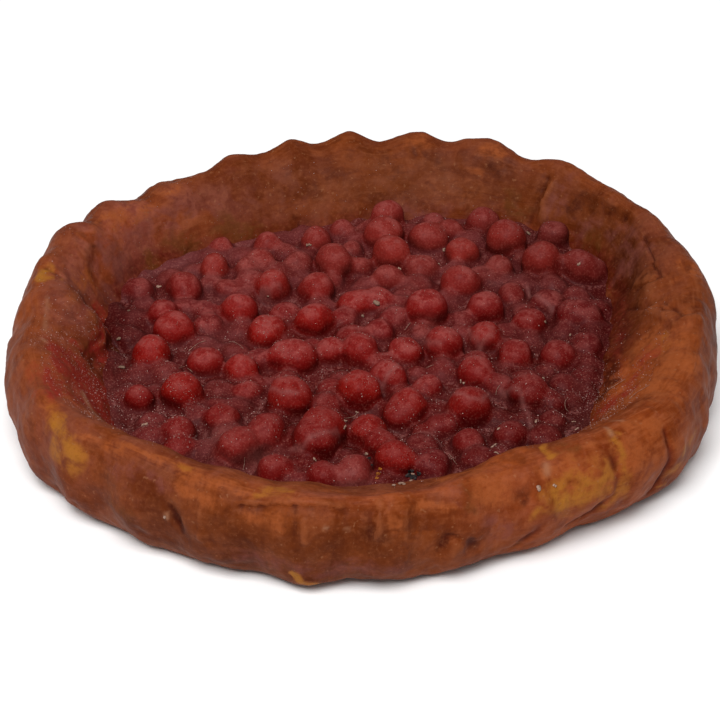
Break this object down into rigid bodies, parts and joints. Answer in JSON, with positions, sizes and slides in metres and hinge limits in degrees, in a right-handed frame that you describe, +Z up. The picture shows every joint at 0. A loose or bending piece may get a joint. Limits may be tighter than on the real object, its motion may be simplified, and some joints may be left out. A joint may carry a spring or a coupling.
{
  "type": "miniature berry tartlet",
  "caption": "Hand-painted miniature tartlet: a thick round fluted pastry case with a dark red glaze, in which small round berries lie half sunk.",
  "frame": {"origin": "centre of the flat foot", "axes": "+Z up from the foot to the crest of the rim; the front of the case faces -Y"},
  "size_m": [0.0396, 0.0405, 0.0064],
  "materials": {
    "painted_crust": "satin paint over cast resin, brushed in browns and orange with yellow patches",
    "berry_glaze": "dark red gloss paint over cast resin, lightly dusty"
  },
  "bodies": {
    "root": {"pastry_case": "painted_crust", "berry_filling": "berry_glaze"}
  },
  "joints": []
}
